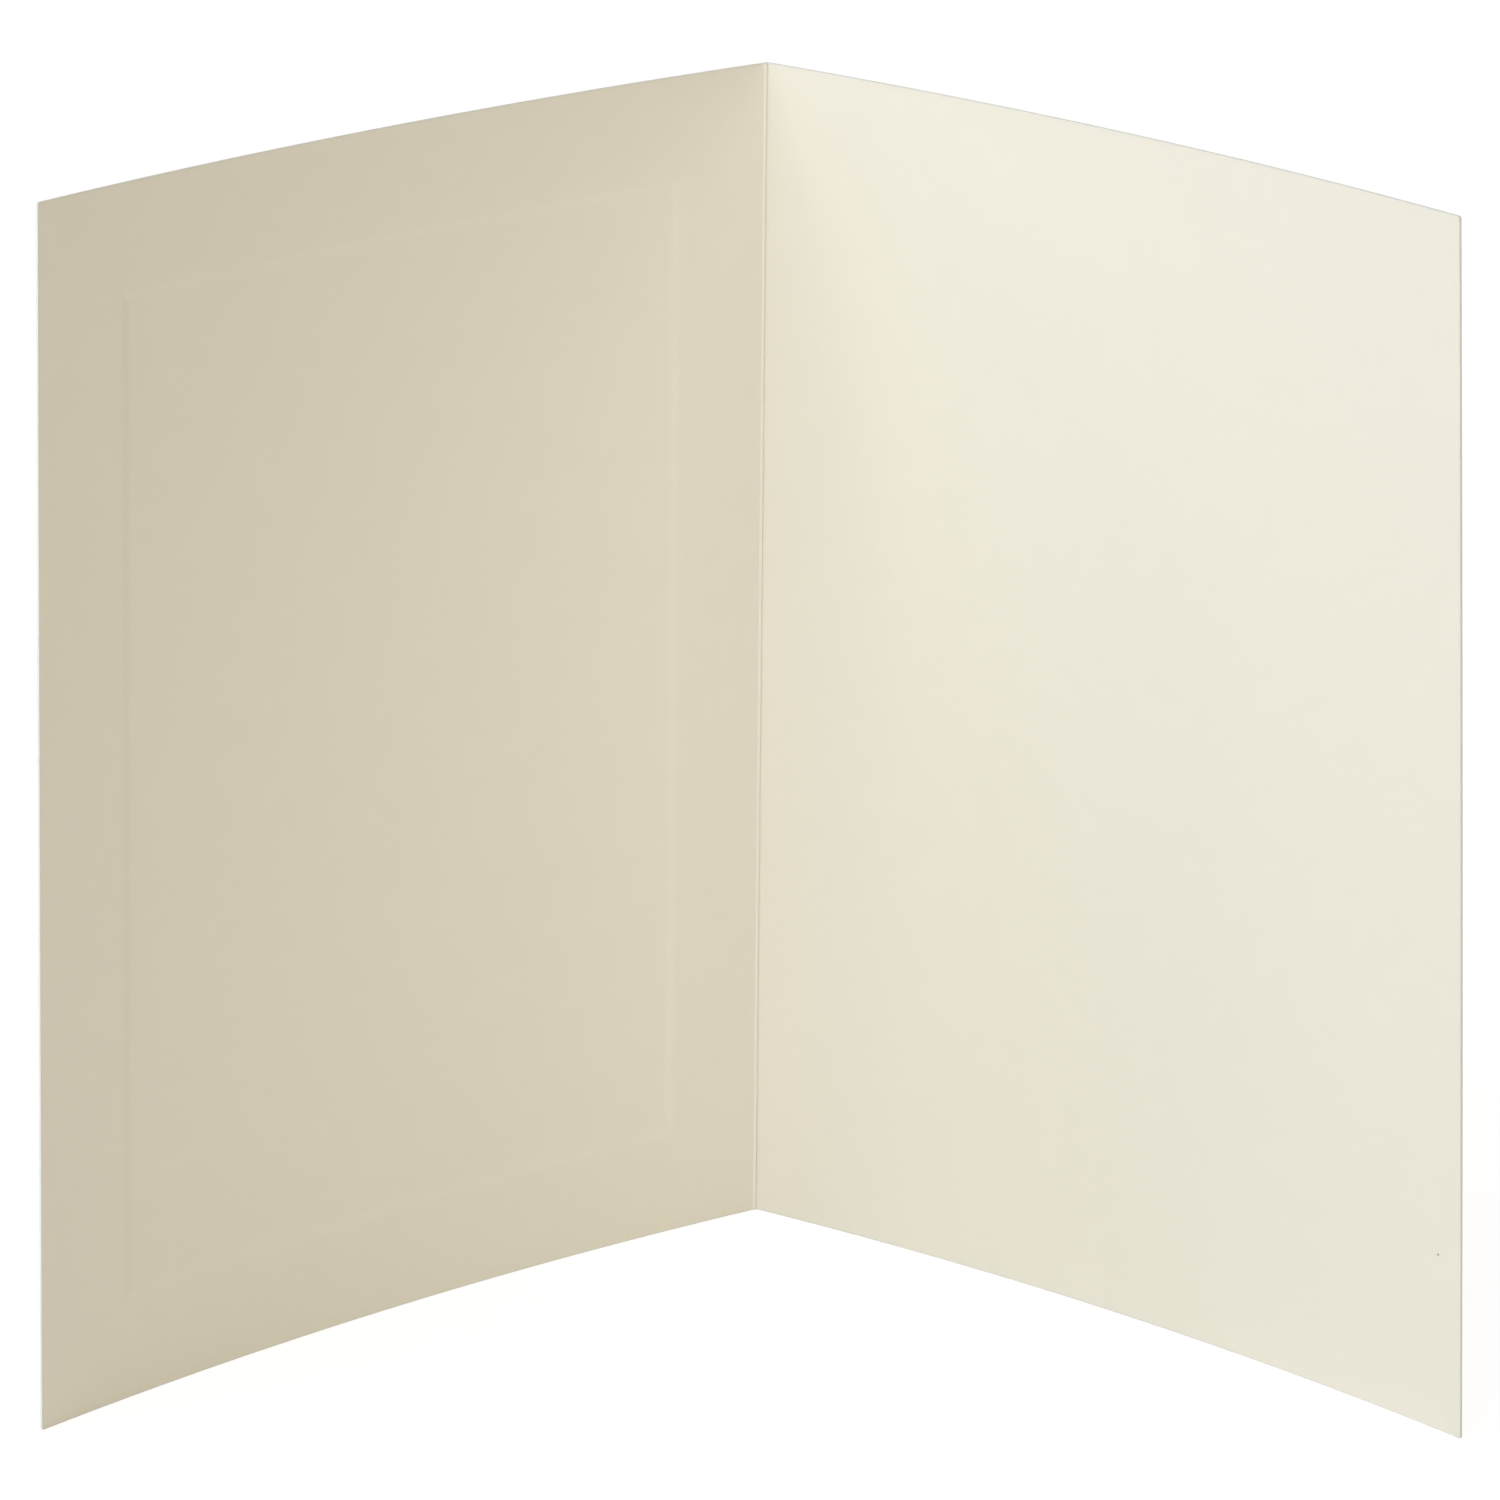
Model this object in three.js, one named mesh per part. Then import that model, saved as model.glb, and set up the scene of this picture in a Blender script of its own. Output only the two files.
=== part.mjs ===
// A folded card of heavy cream stock, standing open on the foot edges of its two leaves.
// The sheet is laid out flat first, with its score and its pressed panel,
// and is then folded along the score and bowed.
// Millimetres, +Z up, the fold at the back (+Y) and the open side towards -Y.

import * as THREE from 'three';
import { mergeVertices, toCreasedNormals } from 'three/addons/utils/BufferGeometryUtils.js';

// The sheet: each leaf is measured along the paper, from the middle of the fold to its free edge
const leafWidth = 130.2;
const leafHeight = 177.8;
const stockThickness = 0.42;

// The score: a strip of paper that takes the whole bend, with a groove along its outside
const creaseWidth = 0.6;
const grooveDepth = 0.08;

// The bead that the score pushes up along the inside, astride its edge on the front leaf
const beadWidth = 0.9;
const beadHeight = 0.22;

// The stand, in degrees: how far each leaf turns forward from a flat sheet as it leaves the fold
const footTurn = 32.7;
const frontHeadTurn = 35.7;
const backHeadTurn = 38.3;

// How far the head of the fold stands over to the back leaf's side of its foot
const foldLean = 1.21;

// The bow of each leaf: how deep it hollows towards the outside, between its fold and free edge
const bowDepth = 4.13;

// The panel pressed into the front leaf, its bevel centred on the margin
const panelMargin = 15.9;
const bevelWidth = 2;
const pressDepth = 0.18;

// How finely the surface is faceted
const creaseSteps = 12;
const beadSteps = 5;
const bevelSteps = 3;
const marginSteps = 3;
const panelSteps = 15;
const panelRows = 8;

const halfCrease = creaseWidth / 2;
const halfBevel = bevelWidth / 2;
const bowRadius = leafWidth ** 2 / (8 * bowDepth);

// The panel's outline on the flat sheet, where the front leaf lies on the negative side of the fold
const panelLeft = panelMargin - leafWidth;
const panelRight = -panelMargin;
const panelFoot = panelMargin;
const panelHead = leafHeight - panelMargin;

// Grid lines from a starting place, each span cut into equal steps
function gridLines(start, spans) {
	const lines = [start];
	for (const [end, steps] of spans) {
		const from = lines.at(-1);
		for (let step = 1; step <= steps; step++) {
			lines.push(THREE.MathUtils.lerp(from, end, step / steps));
		}
	}
	return lines;
}

const linesAcross = gridLines(-leafWidth, [
	[panelLeft - halfBevel, marginSteps],
	[panelLeft + halfBevel, bevelSteps],
	[panelRight - halfBevel, panelSteps],
	[panelRight + halfBevel, bevelSteps],
	[-halfCrease - beadWidth / 2, marginSteps],
	[-halfCrease, beadSteps],
	[halfCrease, creaseSteps],
	[leafWidth, panelSteps + 2 * marginSteps],
]);

const linesUp = gridLines(0, [
	[panelFoot - halfBevel, marginSteps],
	[panelFoot + halfBevel, bevelSteps],
	[panelHead - halfBevel, panelRows],
	[panelHead + halfBevel, bevelSteps],
	[leafHeight, marginSteps],
]);

// A rounded swell along the fold, one at its middle line and nothing from its sides on
function swell(offset, width) {
	const reach = Math.min(2 * Math.abs(offset) / width, 1);
	return Math.cos(reach * Math.PI / 2) ** 2;
}

// How far a place on the sheet is pressed: one on the panel, nothing outside, smooth down the bevel
function pressed(across, up) {
	const inside = Math.min(across - panelLeft, panelRight - across, up - panelFoot, panelHead - up);
	return THREE.MathUtils.smoothstep(inside, -halfBevel, halfBevel);
}

// Height of the sheet's inner or outer face over its middle, counted towards the inside
function faceHeight(across, up, isInner) {
	const press = -pressDepth * pressed(across, up);
	const inner = stockThickness / 2 + beadHeight * swell(across + halfCrease, beadWidth);
	const outer = -stockThickness / 2 + grooveDepth * swell(across, creaseWidth);
	return press + (isInner ? inner : outer);
}

// The turn of a leaf where it leaves the fold, in radians, at a height on the sheet
function turnAt(across, up) {
	const headTurn = across < 0 ? frontHeadTurn : backHeadTurn;
	return THREE.MathUtils.degToRad(THREE.MathUtils.lerp(footTurn, headTurn, up / leafHeight));
}

// Carries a point of the flat sheet to its place on the folded card
function foldedPoint(across, up, height) {
	const side = Math.sign(across);
	const along = Math.abs(across);
	const turn = turnAt(across, up);
	const creaseRadius = halfCrease / turn;
	const creaseAngle = turn * Math.min(along / halfCrease, 1);
	const bowAngle = Math.max(along - halfCrease, 0) / bowRadius;
	const heading = creaseAngle + bowAngle;
	const bowOut = bowRadius * (Math.sin(heading) - Math.sin(creaseAngle));
	const bowForward = bowRadius * (Math.cos(creaseAngle) - Math.cos(heading));
	const out = creaseRadius * Math.sin(creaseAngle) + bowOut;
	const forward = creaseRadius * (1 - Math.cos(creaseAngle)) + bowForward;
	return new THREE.Vector3(
		side * (out - height * Math.sin(heading)) + foldLean * up / leafHeight,
		-forward - height * Math.cos(heading),
		up,
	);
}

// A slab with one cell to each grid cell, its corners carried to the folded card one by one
function foldedSheet() {
	const columns = linesAcross.length - 1;
	const rows = linesUp.length - 1;
	const slab = new THREE.BoxGeometry(columns, 1, rows, columns, 1, rows);
	slab.deleteAttribute('normal');
	slab.deleteAttribute('uv');
	const corners = slab.getAttribute('position');
	for (let i = 0; i < corners.count; i++) {
		const across = linesAcross[Math.round(corners.getX(i) + columns / 2)];
		const up = linesUp[Math.round(corners.getZ(i) + rows / 2)];
		const isInner = corners.getY(i) < 0;
		const place = foldedPoint(across, up, faceHeight(across, up, isInner));
		corners.setXYZ(i, place.x, place.y, place.z);
	}
	return toCreasedNormals(mergeVertices(slab), Math.PI / 6);
}

const creamStock = new THREE.MeshStandardMaterial({ color: '#ece5d3', roughness: 0.9, metalness: 0 });

const card = new THREE.Mesh(foldedSheet(), creamStock);
card.name = 'folded_card';

// The origin is under the middle of the card, on the surface that it stands on
card.geometry.computeBoundingBox();
const middle = card.geometry.boundingBox.getCenter(new THREE.Vector3());
card.position.set(-middle.x, -middle.y, 0);

const part = new THREE.Group();
part.add(card);

export default part;
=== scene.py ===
# A folded panel card of cream stock, standing open on a pale studio floor.
import math
import bpy
from mathutils import Matrix, Vector, noise


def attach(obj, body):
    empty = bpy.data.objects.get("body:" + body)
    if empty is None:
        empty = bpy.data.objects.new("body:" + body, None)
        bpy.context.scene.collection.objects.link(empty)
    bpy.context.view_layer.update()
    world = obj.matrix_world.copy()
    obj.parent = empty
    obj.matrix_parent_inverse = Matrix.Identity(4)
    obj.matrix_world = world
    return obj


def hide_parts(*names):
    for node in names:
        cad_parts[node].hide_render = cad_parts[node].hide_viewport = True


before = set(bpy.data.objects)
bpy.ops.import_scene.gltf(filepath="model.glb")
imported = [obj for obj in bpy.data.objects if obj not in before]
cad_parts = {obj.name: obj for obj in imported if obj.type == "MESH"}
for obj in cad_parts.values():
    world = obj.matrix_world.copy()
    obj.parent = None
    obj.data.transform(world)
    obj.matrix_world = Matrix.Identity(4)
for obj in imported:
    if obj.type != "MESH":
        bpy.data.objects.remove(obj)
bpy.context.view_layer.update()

mm = 0.001  # the scene is in metres
bpy.context.scene.view_settings.view_transform = "Standard"
print("frame loaded")

# the camera stands where the photographer's did, and looks a little down into the open card
camera = {
    "lens": 156,
    "sensorWidth": 36,  # in millimetres, like the lens
    "sightRange": (0.05, 20),
    "aim": Vector((-0.72, 11.285, 85.16)) * mm,
    "distance": 930.92 * mm,
    "turn": math.radians(-0.548),  # towards +X
    "tilt": math.radians(18.233),  # down
    "roll": math.radians(0.119),
}


def placeCamera():
    data = bpy.data.cameras.new("photoCamera")
    data.lens = camera["lens"]
    data.sensor_width = camera["sensorWidth"]
    data.clip_start, data.clip_end = camera["sightRange"]
    eye = bpy.data.objects.new("photoCamera", data)
    bpy.context.scene.collection.objects.link(eye)
    heading = Matrix.Rotation(-camera["turn"], 4, "Z")
    heading @= Matrix.Rotation(math.pi / 2 - camera["tilt"], 4, "X")
    heading @= Matrix.Rotation(camera["roll"], 4, "Z")
    back = heading @ Vector((0, 0, camera["distance"]))
    eye.matrix_world = Matrix.Translation(camera["aim"] + back) @ heading
    bpy.context.scene.camera = eye


placeCamera()
print("camera placed")

# the folded sheet, each leaf measured along the paper from the middle of the fold
sheet = {
    "leafWidth": 130.2 * mm,
    "leafHeight": 177.8 * mm,
    "thickness": 0.42 * mm,
    "creaseWidth": 0.6 * mm,  # the strip that takes the whole bend
    "grooveDepth": 0.08 * mm,  # score along the outside
    "beadWidth": 0.9 * mm,  # ridge along the inside, astride the score's edge on the front leaf
    "beadHeight": 0.22 * mm,
    "footTurn": 32.7,  # degrees that a leaf turns forward as it leaves the fold
    "frontHeadTurn": 35.7,
    "backHeadTurn": 38.3,
    "foldLean": 1.21 * mm,  # how far the head of the fold stands over towards +X
    "bowDepth": 4.13 * mm,
    "panelMargin": 15.9 * mm,
    "bevelWidth": 2 * mm,
    "pressDepth": 0.18 * mm,
    "foldPlace": 46.28 * mm,  # how far back the fold stands
    "arrisRadius": 0.06 * mm,  # where the faces round into the cut
    "cornerRadius": 0.35 * mm,
    "waveHeight": 0.07 * mm,  # slow unevenness of the leaves
    "waveLength": 62 * mm,
    "wavePick": 4.3,  # another number gives other waves
    "steps": {
        "arris": 4,
        "corner": 4,
        "margin": 12,
        "bevel": 8,
        "panel": 48,
        "rows": 64,
        "bead": 12,
        "crease": 20,
    },
}
sheetMasks = ("pressed", "creased", "fromCut")


def gridLines(start, spans):  # places along the sheet, each span cut into equal steps
    lines = [start]
    for end, steps in spans:
        begin = lines[-1]
        lines += [begin + (end - begin) * step / steps for step in range(1, steps + 1)]
    return lines


def cutLines():  # distances from the cut, close together over the rounded arris
    arris, steps = sheet["arrisRadius"], sheet["steps"]
    turns = [math.pi / 2 * step / steps["arris"] for step in range(steps["arris"])]
    lines = [arris * (1 - math.cos(turn)) for turn in turns]
    return lines + gridLines(arris, [(sheet["cornerRadius"], steps["corner"])])


def sheetLines():  # grid lines across the opened sheet and up it
    steps, width, height = sheet["steps"], sheet["leafWidth"], sheet["leafHeight"]
    margin, bevel, crease = sheet["panelMargin"], sheet["bevelWidth"] / 2, sheet["creaseWidth"] / 2
    cut = cutLines()
    inner, edge = cut[-1], cut[:-1]
    across = gridLines(inner - width, [
        (margin - bevel - width, steps["margin"]),
        (margin + bevel - width, steps["bevel"]),
        (-margin - bevel, steps["panel"]),
        (-margin + bevel, steps["bevel"]),
        (-crease - sheet["beadWidth"] / 2, steps["margin"]),
        (-crease, steps["bead"]),
        (crease, steps["crease"]),
        (width - inner, steps["panel"] + 2 * steps["margin"]),
    ])
    up = gridLines(inner, [
        (margin - bevel, steps["margin"]),
        (margin + bevel, steps["bevel"]),
        (height - margin - bevel, steps["rows"]),
        (height - margin + bevel, steps["bevel"]),
        (height - inner, steps["margin"]),
    ])
    across = [d - width for d in edge] + across + [width - d for d in reversed(edge)]
    up = edge + up + [height - d for d in reversed(edge)]
    return across, up


def roundCorner(across, up):  # a grid point drawn in for the rounded corner, and how far off the cut is
    radius, height = sheet["cornerRadius"], sheet["leafHeight"]
    toSide = 1 - (sheet["leafWidth"] - abs(across)) / radius
    toEnd = 1 - min(up, height - up) / radius
    if toSide <= 0 or toEnd <= 0:
        return across, up, (1 - max(toSide, toEnd)) * radius
    newSide = toSide * math.sqrt(1 - toEnd ** 2 / 2)
    newEnd = toEnd * math.sqrt(1 - toSide ** 2 / 2)
    across -= math.copysign((toSide - newSide) * radius, across)
    up += math.copysign((toEnd - newEnd) * radius, height / 2 - up)
    return across, up, max(1 - math.hypot(newSide, newEnd), 0) * radius


def pressedAt(across, up):  # one on the pressed panel, nothing outside it, smooth down the bevel
    margin, bevel = sheet["panelMargin"], sheet["bevelWidth"] / 2
    side = min(across + sheet["leafWidth"] - margin, -margin - across)
    inside = min(side, up - margin, sheet["leafHeight"] - margin - up)
    share = min(max((inside + bevel) / (2 * bevel), 0), 1)
    return share * share * (3 - 2 * share)


def swellAt(offset, width):  # one at the middle of a rounded ridge or groove, nothing beside it
    return math.cos(min(2 * abs(offset) / width, 1) * math.pi / 2) ** 2


def waveAt(across, up):  # fades out towards the fold and the free edges
    length, along = sheet["waveLength"], abs(across) / sheet["leafWidth"]
    wave = noise.noise(Vector((across / length, up / length, sheet["wavePick"])))
    return sheet["waveHeight"] * wave * math.sin(math.pi * along)


def faceHeight(side, across, up, fromCut):  # over the middle of the stock, counted to the inside
    arris = sheet["arrisRadius"]
    drop = arris - math.sqrt(arris ** 2 - max(arris - fromCut, 0) ** 2)
    bead = sheet["beadHeight"] * swellAt(across + sheet["creaseWidth"] / 2, sheet["beadWidth"])
    groove = sheet["grooveDepth"] * swellAt(across, sheet["creaseWidth"])
    height = side * (sheet["thickness"] / 2 - drop) + (bead if side > 0 else groove)
    height += waveAt(across, up) - sheet["pressDepth"] * pressedAt(across, up)
    return height


def foldedPoint(across, up, height):  # from the flat sheet to its place on the standing card
    head = sheet["frontHeadTurn"] if across < 0 else sheet["backHeadTurn"]
    turn = math.radians(sheet["footTurn"] + (head - sheet["footTurn"]) * up / sheet["leafHeight"])
    halfCrease = sheet["creaseWidth"] / 2
    bowRadius = sheet["leafWidth"] ** 2 / (8 * sheet["bowDepth"])
    creaseRadius = halfCrease / turn
    bend = turn * min(abs(across) / halfCrease, 1)
    heading = bend + max(abs(across) - halfCrease, 0) / bowRadius
    out = creaseRadius * math.sin(bend) + bowRadius * (math.sin(heading) - math.sin(bend))
    forward = creaseRadius * (1 - math.cos(bend)) + bowRadius * (math.cos(bend) - math.cos(heading))
    side = math.copysign(out - height * math.sin(heading), across) if across else 0
    lean = sheet["foldLean"] * up / sheet["leafHeight"]
    return Vector((side + lean, sheet["foldPlace"] - forward - height * math.cos(heading), up))


def sheetQuads(columns, rows):  # both faces, then the cut that joins them, and how many faces it has
    outside = columns * rows
    quads = []
    for row in range(rows - 1):
        for column in range(columns - 1):
            i = row * columns + column
            j = i + outside
            quads.append((i, i + 1, i + columns + 1, i + columns))
            quads.append((j, j + columns, j + columns + 1, j + 1))
    rim = list(range(columns))
    rim += [row * columns + columns - 1 for row in range(1, rows)]
    rim += [(rows - 1) * columns + column for column in range(columns - 2, -1, -1)]
    rim += [row * columns for row in range(rows - 2, 0, -1)]
    quads += [(i, i + outside, j + outside, j) for i, j in zip(rim, rim[1:] + rim[:1])]
    return quads, len(rim)


def makeSheet():
    linesAcross, linesUp = sheetLines()
    points, flat, masks = [], [], []
    for side, mapShift in ((1, 0), (-1, 2 * sheet["leafWidth"])):  # the inside, then the outside
        for lineUp in linesUp:
            for lineAcross in linesAcross:
                across, up, fromCut = roundCorner(lineAcross, lineUp)
                points.append(foldedPoint(across, up, faceHeight(side, across, up, fromCut)))
                flat.append((across + sheet["leafWidth"], up + mapShift))
                creased = swellAt(across, sheet["creaseWidth"])
                masks.append((pressedAt(across, up), creased, fromCut / mm))
    quads, cutCount = sheetQuads(len(linesAcross), len(linesUp))
    mesh = bpy.data.meshes.new("card_sheet")
    mesh.from_pydata(points, [], quads)
    materialPlaces = [0] * (len(quads) - cutCount) + [1] * cutCount
    mesh.polygons.foreach_set("material_index", materialPlaces)
    layer = mesh.uv_layers.new(name="sheetMap")
    for loop in mesh.loops:
        layer.data[loop.index].uv = Vector(flat[loop.vertex_index]) / (2 * sheet["leafWidth"])
    for place, name in enumerate(sheetMasks):
        mask = mesh.attributes.new(name, "FLOAT", "POINT")
        mask.data.foreach_set("value", [values[place] for values in masks])
    mesh.shade_smooth()
    card = bpy.data.objects.new("card_sheet", mesh)
    bpy.context.scene.collection.objects.link(card)
    return card


card = makeSheet()
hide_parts("folded_card")
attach(card, "root")
print("sheet folded,", len(card.data.polygons) * 2, "triangles")

# the cream stock; the noises and the flecks are placed in millimetres on the flat sheet
stock = {
    "cream": (0.84, 0.8, 0.7, 1),
    "cutPulpAndShade": (0.81, 0.83, 0.8, 1),  # the pulp of the face, made a little greyer and cooler as painted shade on the cut
    "rimShadeGrey": (0.75, 0.745, 0.69, 1),  # painted shade greys the face along the cut
    "rimReach": 0.4,  # millimetres from the cut
    "rimStrength": 0.7,
    "bevelHighlight": 0.01,  # painted highlight: the flank of the panel is made a little paler
    "cloud": {"Scale": 0.14, "Detail": 2, "Roughness": 0.6},
    "tooth": {"Scale": 1.9, "Detail": 2, "Roughness": 0.62},
    "fibre": {"Scale": 0.85, "Detail": 2, "Roughness": 0.55, "Distortion": 1.4},
    "fibreRidge": (1.0, 2.4),  # the noise where a fibre starts to show, and where it is full
    "fibreRelief": 0.45,  # beside one for the tooth
    "faceMottle": {"Cloud Strength": 0.02, "Fibre Strength": 0.03},
    "cutMottle": {"Cloud Strength": 0.1, "Fibre Strength": 0.12},
    "reliefDepth": 0.012 * mm,
    "panelRelief": 0.7,  # the die flattens some of it
    "scoreRelief": 0.6,  # and the score adds to it
    "cutRelief": 2,
    "roughness": 0.92,
    "panelRoughness": 0.84,
    "cutRoughness": 0.95,
    "specular": 0.3,
    "cutSpecular": 0.2,
    "flecks": [  # place, radius and strength of each
        ((256.2, 27.2, 0), 0.28, 0.85),
        ((104.3, 9.3, 0), 0.22, 0.12),
    ],
    "fleckBrown": (0.3, 0.22, 0.14, 1),
    "fleckNoise": {"Scale": 4.0, "Detail": 1},
    "fleckWobble": 0.25,  # millimetres that the noise moves its outline
    "fleckEdge": (1.5, 0.7),  # where it starts and where it is full, in radii
}
mixShare, mixUnder, mixOver, mixColour = 0, 6, 7, 2  # sockets of a colour mix


def addNode(tree, kind, values=(), **settings):  # values are pairs of a socket and what it is set to
    node = tree.nodes.new(kind)
    for name, setting in settings.items():
        setattr(node, name, setting)
    for socket, value in values:
        node.inputs[socket].default_value = value
    return node


def joinNodes(tree, *links):
    for fromNode, output, toNode, socket in links:
        tree.links.new(fromNode.outputs[output], toNode.inputs[socket])


def startGroup(name, inputs, outputs):
    group = bpy.data.node_groups.new(name, "ShaderNodeTree")
    for title, kind in inputs:
        group.interface.new_socket(title, in_out="INPUT", socket_type=kind)
    for title, kind in outputs:
        group.interface.new_socket(title, in_out="OUTPUT", socket_type=kind)
    return group, group.nodes.new("NodeGroupInput"), group.nodes.new("NodeGroupOutput")


def makeStockGroup():  # cloudy formation, curled fibres and fine tooth, placed in millimetres
    group, given, result = startGroup(
        "cardStock",
        [
            ("Place", "NodeSocketVector"),
            ("Colour", "NodeSocketColor"),
            ("Cloud Strength", "NodeSocketFloat"),
            ("Fibre Strength", "NodeSocketFloat"),
        ],
        [("Colour", "NodeSocketColor"), ("Height", "NodeSocketFloat")],
    )
    cloud = addNode(group, "ShaderNodeTexNoise", stock["cloud"].items())
    tooth = addNode(group, "ShaderNodeTexNoise", stock["tooth"].items())
    fibre = addNode(
        group,
        "ShaderNodeTexNoise",
        stock["fibre"].items(),
        noise_type="RIDGED_MULTIFRACTAL",
    )
    ridge = zip(("From Min", "From Max"), stock["fibreRidge"])
    thread = addNode(group, "ShaderNodeMapRange", ridge)
    centred = addNode(group, "ShaderNodeMath", [(1, 0.5)], operation="SUBTRACT")
    cloudPart = addNode(group, "ShaderNodeMath", operation="MULTIPLY")
    fibrePart = addNode(group, "ShaderNodeMath", operation="MULTIPLY")
    change = addNode(group, "ShaderNodeMath", operation="SUBTRACT")
    level = addNode(group, "ShaderNodeMath", [(1, 1)], operation="ADD")
    tinted = addNode(group, "ShaderNodeVectorMath", operation="SCALE")
    relief = addNode(group, "ShaderNodeMath", [(1, stock["fibreRelief"])], operation="MULTIPLY_ADD")
    joinNodes(
        group,
        (given, "Place", cloud, "Vector"),
        (given, "Place", tooth, "Vector"),
        (given, "Place", fibre, "Vector"),
        (fibre, 0, thread, "Value"),
        (cloud, 0, centred, 0),
        (centred, 0, cloudPart, 0),
        (given, "Cloud Strength", cloudPart, 1),
        (thread, 0, fibrePart, 0),
        (given, "Fibre Strength", fibrePart, 1),
        (cloudPart, 0, change, 0),
        (fibrePart, 0, change, 1),
        (change, 0, level, 0),
        (given, "Colour", tinted, 0),
        (level, 0, tinted, "Scale"),
        (tinted, 0, result, "Colour"),
        (thread, 0, relief, 0),
        (tooth, 0, relief, 2),
        (relief, 0, result, "Height"),
    )
    return group


def makeFleckGroup():  # a speck in the pulp at one place, softly and unevenly outlined
    group, given, result = startGroup(
        "pulpFleck",
        [
            ("Place", "NodeSocketVector"),
            ("Centre", "NodeSocketVector"),
            ("Radius", "NodeSocketFloat"),
            ("Strength", "NodeSocketFloat"),
        ],
        [("Mask", "NodeSocketFloat")],
    )
    wobble = addNode(group, "ShaderNodeTexNoise", stock["fleckNoise"].items())
    away = addNode(group, "ShaderNodeVectorMath", operation="DISTANCE")
    uneven = addNode(group, "ShaderNodeMath", [(1, stock["fleckWobble"])], operation="MULTIPLY_ADD")
    share = addNode(group, "ShaderNodeMath", operation="DIVIDE")
    edge = zip(("From Min", "From Max"), stock["fleckEdge"])
    soft = addNode(group, "ShaderNodeMapRange", edge, interpolation_type="SMOOTHSTEP")
    mask = addNode(group, "ShaderNodeMath", operation="MULTIPLY")
    joinNodes(
        group,
        (given, "Place", wobble, "Vector"),
        (given, "Place", away, 0),
        (given, "Centre", away, 1),
        (wobble, 0, uneven, 0),
        (away, "Value", uneven, 2),
        (uneven, 0, share, 0),
        (given, "Radius", share, 1),
        (share, 0, soft, "Value"),
        (soft, 0, mask, 0),
        (given, "Strength", mask, 1),
        (mask, 0, result, "Mask"),
    )
    return group


stockGroup = makeStockGroup()
fleckGroup = makeFleckGroup()


def startMaterial(name):
    material = bpy.data.materials.new(name)
    material.use_nodes = True
    tree = material.node_tree
    return material, tree, tree.nodes["Principled BSDF"]


def finishFace(tree, shader, paper, pressed, creased):  # roughness and relief of the two faces
    shine = [("To Min", stock["roughness"]), ("To Max", stock["panelRoughness"])]
    smooth = addNode(tree, "ShaderNodeMapRange", shine)
    relief = addNode(tree, "ShaderNodeMapRange", [("To Min", 1), ("To Max", stock["panelRelief"])])
    rougher = addNode(tree, "ShaderNodeMath", [(1, stock["scoreRelief"])], operation="MULTIPLY_ADD")
    height = addNode(tree, "ShaderNodeMath", operation="MULTIPLY")
    bump = addNode(tree, "ShaderNodeBump", [("Distance", stock["reliefDepth"])])
    joinNodes(
        tree,
        (pressed, "Fac", smooth, "Value"),
        (smooth, 0, shader, "Roughness"),
        (pressed, "Fac", relief, "Value"),
        (creased, "Fac", rougher, 0),
        (relief, 0, rougher, 2),
        (rougher, 0, height, 0),
        (paper, "Height", height, 1),
        (height, 0, bump, "Height"),
        (bump, "Normal", shader, "Normal"),
    )


def makeFaceMaterial():
    material, tree, shader = startMaterial("cardFace")
    shader.inputs["Specular IOR Level"].default_value = stock["specular"]
    flat = addNode(tree, "ShaderNodeUVMap", uv_map="sheetMap")
    mapSize = 2 * sheet["leafWidth"] / mm
    place = addNode(tree, "ShaderNodeVectorMath", [("Scale", mapSize)], operation="SCALE")
    paper = addNode(tree, "ShaderNodeGroup", stock["faceMottle"].items(), node_tree=stockGroup)
    paper.inputs["Colour"].default_value = stock["cream"]
    pressed, creased, fromCut = (
        addNode(tree, "ShaderNodeAttribute", attribute_name=name) for name in sheetMasks
    )
    # painted shade: the face greys towards the cut, fading out over rimReach
    shadeAlongCut = [("From Max", stock["rimReach"]), ("To Min", stock["rimStrength"]), ("To Max", 0)]
    rim = addNode(tree, "ShaderNodeMapRange", shadeAlongCut)
    # painted highlight: the colour is made a little paler along the panel's bevel
    flank = addNode(tree, "ShaderNodeMath", [(0, 1)], operation="SUBTRACT")
    bevel = addNode(tree, "ShaderNodeMath", operation="MULTIPLY")  # a quarter at its middle
    lightening = [(1, 4 * stock["bevelHighlight"]), (2, 1)]
    lighter = addNode(tree, "ShaderNodeMath", lightening, operation="MULTIPLY_ADD")
    pale = addNode(tree, "ShaderNodeVectorMath", operation="SCALE")
    colour = addNode(tree, "ShaderNodeMix", [(mixOver, stock["rimShadeGrey"])], data_type="RGBA")
    joinNodes(
        tree,
        (flat, "UV", place, 0),
        (place, 0, paper, "Place"),
        (pressed, "Fac", flank, 1),
        (pressed, "Fac", bevel, 0),
        (flank, 0, bevel, 1),
        (bevel, 0, lighter, 0),
        (paper, "Colour", pale, 0),
        (lighter, 0, pale, "Scale"),
        (pale, 0, colour, mixUnder),
        (fromCut, "Fac", rim, "Value"),
        (rim, 0, colour, mixShare),
    )
    for centre, radius, strength in stock["flecks"]:
        facts = [("Centre", centre), ("Radius", radius), ("Strength", strength)]
        fleck = addNode(tree, "ShaderNodeGroup", facts, node_tree=fleckGroup)
        stain = addNode(tree, "ShaderNodeMix", [(mixOver, stock["fleckBrown"])], data_type="RGBA")
        joinNodes(
            tree,
            (place, 0, fleck, "Place"),
            (fleck, "Mask", stain, mixShare),
            (colour, mixColour, stain, mixUnder),
        )
        colour = stain
    joinNodes(tree, (colour, mixColour, shader, "Base Color"))
    finishFace(tree, shader, paper, pressed, creased)
    return material


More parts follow.
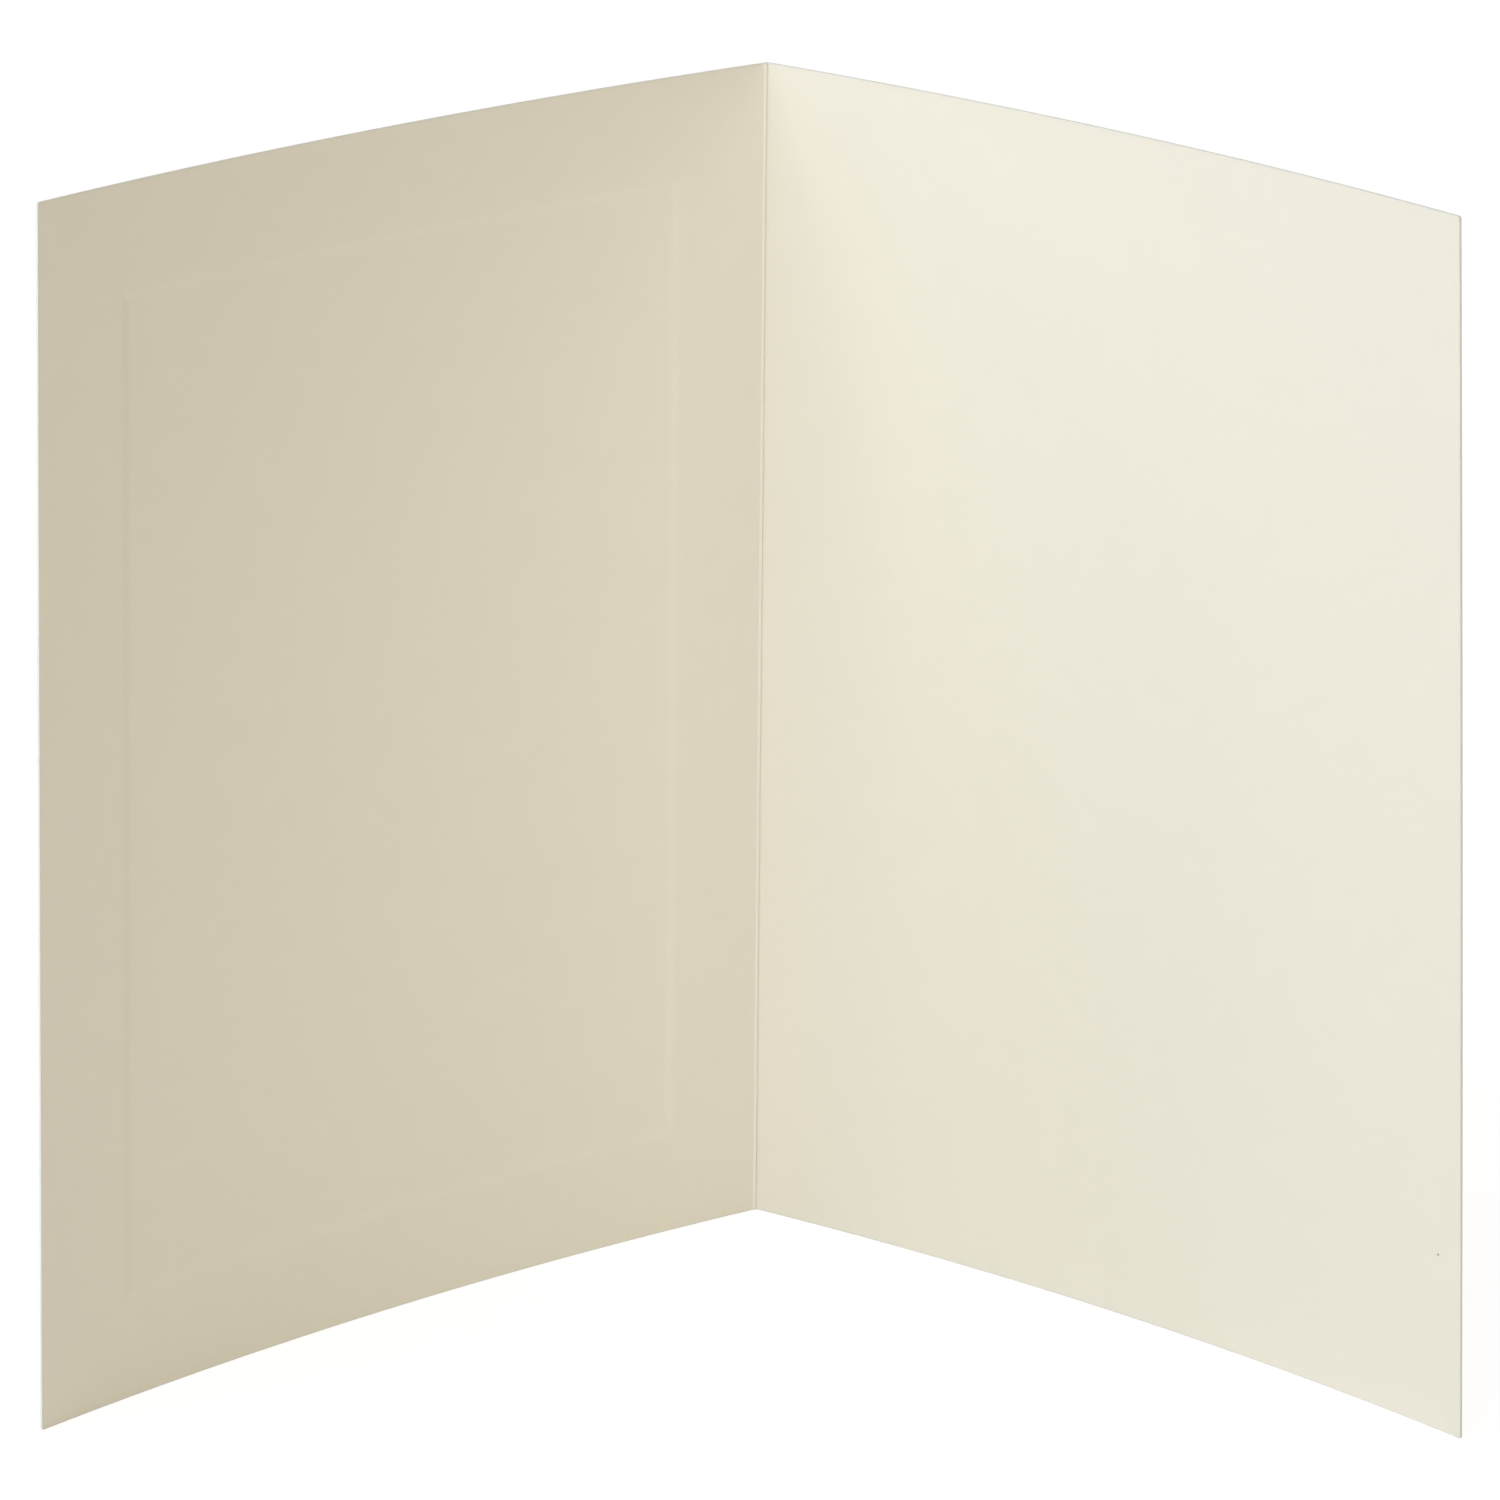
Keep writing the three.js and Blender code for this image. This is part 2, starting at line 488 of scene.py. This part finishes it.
def makeCutMaterial():
    material, tree, shader = startMaterial("cardCut")
    shader.inputs["Specular IOR Level"].default_value = stock["cutSpecular"]
    shader.inputs["Roughness"].default_value = stock["cutRoughness"]
    spot = addNode(tree, "ShaderNodeTexCoord")
    place = addNode(tree, "ShaderNodeVectorMath", [("Scale", 1 / mm)], operation="SCALE")
    paper = addNode(tree, "ShaderNodeGroup", stock["cutMottle"].items(), node_tree=stockGroup)
    # the cut's pulp colour, greyed and cooled as painted shade
    paper.inputs["Colour"].default_value = stock["cutPulpAndShade"]
    depth = stock["cutRelief"] * stock["reliefDepth"]
    bump = addNode(tree, "ShaderNodeBump", [("Distance", depth)])
    joinNodes(
        tree,
        (spot, "Object", place, 0),
        (place, 0, paper, "Place"),
        (paper, "Colour", shader, "Base Color"),
        (paper, "Height", bump, "Height"),
        (bump, "Normal", shader, "Normal"),
    )
    return material


card.data.materials.append(makeFaceMaterial())
card.data.materials.append(makeCutMaterial())
print("card stock finished")

# a white studio: the floor keeps a faint shadow of the card and melts into the backdrop
studio = {
    "floorSize": 12,
    "floorColour": (0.8, 0.8, 0.8, 1),  # as it lights the card
    "floorGlow": 0.86,  # as it looks, beside what the lamps add to its shadow colour
    "shadowColour": (0.25, 0.25, 0.25, 1),
    "backdropColour": (1, 1, 1, 1),
    "ambientColour": (1, 0.896, 0.721, 1),
    "ambientStrength": 0.22,
}


def seenDirectly(tree):  # one where the camera looks, straight or by a mirror or through glass
    path = addNode(tree, "ShaderNodeLightPath")
    mirrored = addNode(tree, "ShaderNodeMath", operation="MAXIMUM")
    seen = addNode(tree, "ShaderNodeMath", operation="MAXIMUM")
    joinNodes(
        tree,
        (path, "Is Glossy Ray", mirrored, 0),
        (path, "Is Transmission Ray", mirrored, 1),
        (path, "Is Camera Ray", seen, 0),
        (mirrored, 0, seen, 1),
    )
    return seen


def makeFloor():
    half = studio["floorSize"] / 2
    corners = [(-half, -half, 0), (half, -half, 0), (half, half, 0), (-half, half, 0)]
    mesh = bpy.data.meshes.new("studioFloor")
    mesh.from_pydata(corners, [], [(0, 1, 2, 3)])
    floor = bpy.data.objects.new("studioFloor", mesh)
    bpy.context.scene.collection.objects.link(floor)
    material, tree = startMaterial("studioFloor")[:2]
    tree.nodes.clear()
    matt = addNode(tree, "ShaderNodeBsdfDiffuse", [("Color", studio["floorColour"])])
    shade = addNode(tree, "ShaderNodeBsdfDiffuse", [("Color", studio["shadowColour"])])
    glow = addNode(tree, "ShaderNodeEmission", [("Strength", studio["floorGlow"])])
    shown = addNode(tree, "ShaderNodeAddShader")
    both = addNode(tree, "ShaderNodeMixShader")
    output = addNode(tree, "ShaderNodeOutputMaterial")
    joinNodes(
        tree,
        (shade, 0, shown, 0),
        (glow, 0, shown, 1),
        (seenDirectly(tree), 0, both, 0),
        (matt, 0, both, 1),
        (shown, 0, both, 2),
        (both, 0, output, "Surface"),
    )
    mesh.materials.append(material)


def makeBackdrop():
    world = bpy.data.worlds.new("studioWorld")
    world.use_nodes = True
    tree = world.node_tree
    tree.nodes.clear()
    light = [("Color", studio["ambientColour"]), ("Strength", studio["ambientStrength"])]
    ambient = addNode(tree, "ShaderNodeBackground", light)
    white = addNode(tree, "ShaderNodeBackground", [("Color", studio["backdropColour"])])
    both = addNode(tree, "ShaderNodeMixShader")
    output = addNode(tree, "ShaderNodeOutputWorld")
    joinNodes(
        tree,
        (seenDirectly(tree), 0, both, 0),
        (ambient, 0, both, 1),
        (white, 0, both, 2),
        (both, 0, output, "Surface"),
    )
    bpy.context.scene.world = world


makeFloor()
makeBackdrop()
print("floor and backdrop made")

# soft boxes round the card, in degrees from straight in front and above the floor
lamps = {
    "windowKey": {"around": -45, "above": 10, "size": 0.9, "power": 7.8, "colour": (0.79, 0.89, 1)},
    "frontKey": {"around": -20, "above": 14, "size": 0.9, "power": 10.3, "colour": (0.945, 0.98, 1)},
    "highSide": {"around": -75, "above": 50, "size": 0.9, "power": 7.5, "colour": (0.88, 0.93, 1)},
    "sideFill": {"around": -90, "above": 22, "size": 0.9, "power": 3.8, "colour": (0.835, 0.87, 1)},
    "rightFill": {"around": 40, "above": 20, "size": 0.9, "power": 5.2, "colour": (1, 0.86, 0.62)},
    "backFill": {"around": 165, "above": 40, "size": 1.2, "power": 10, "colour": (1, 1, 1)},
}
lampDistance = 1.8  # from what the camera aims at


def addLamp(name, facts):
    light = bpy.data.lights.new(name, "AREA")
    light.shape = "SQUARE"
    light.size = facts["size"]
    light.energy = facts["power"]
    light.color = facts["colour"]
    lamp = bpy.data.objects.new(name, light)
    bpy.context.scene.collection.objects.link(lamp)
    around, above = math.radians(facts["around"]), math.radians(facts["above"])
    level = math.cos(above)
    away = Vector((math.sin(around) * level, -math.cos(around) * level, math.sin(above)))
    lamp.location = camera["aim"] + lampDistance * away
    lamp.rotation_mode = "QUATERNION"
    lamp.rotation_quaternion = away.to_track_quat("Z", "Y")


for name, facts in lamps.items():
    addLamp(name, facts)
print("lamps placed")

bpy.context.view_layer.update()
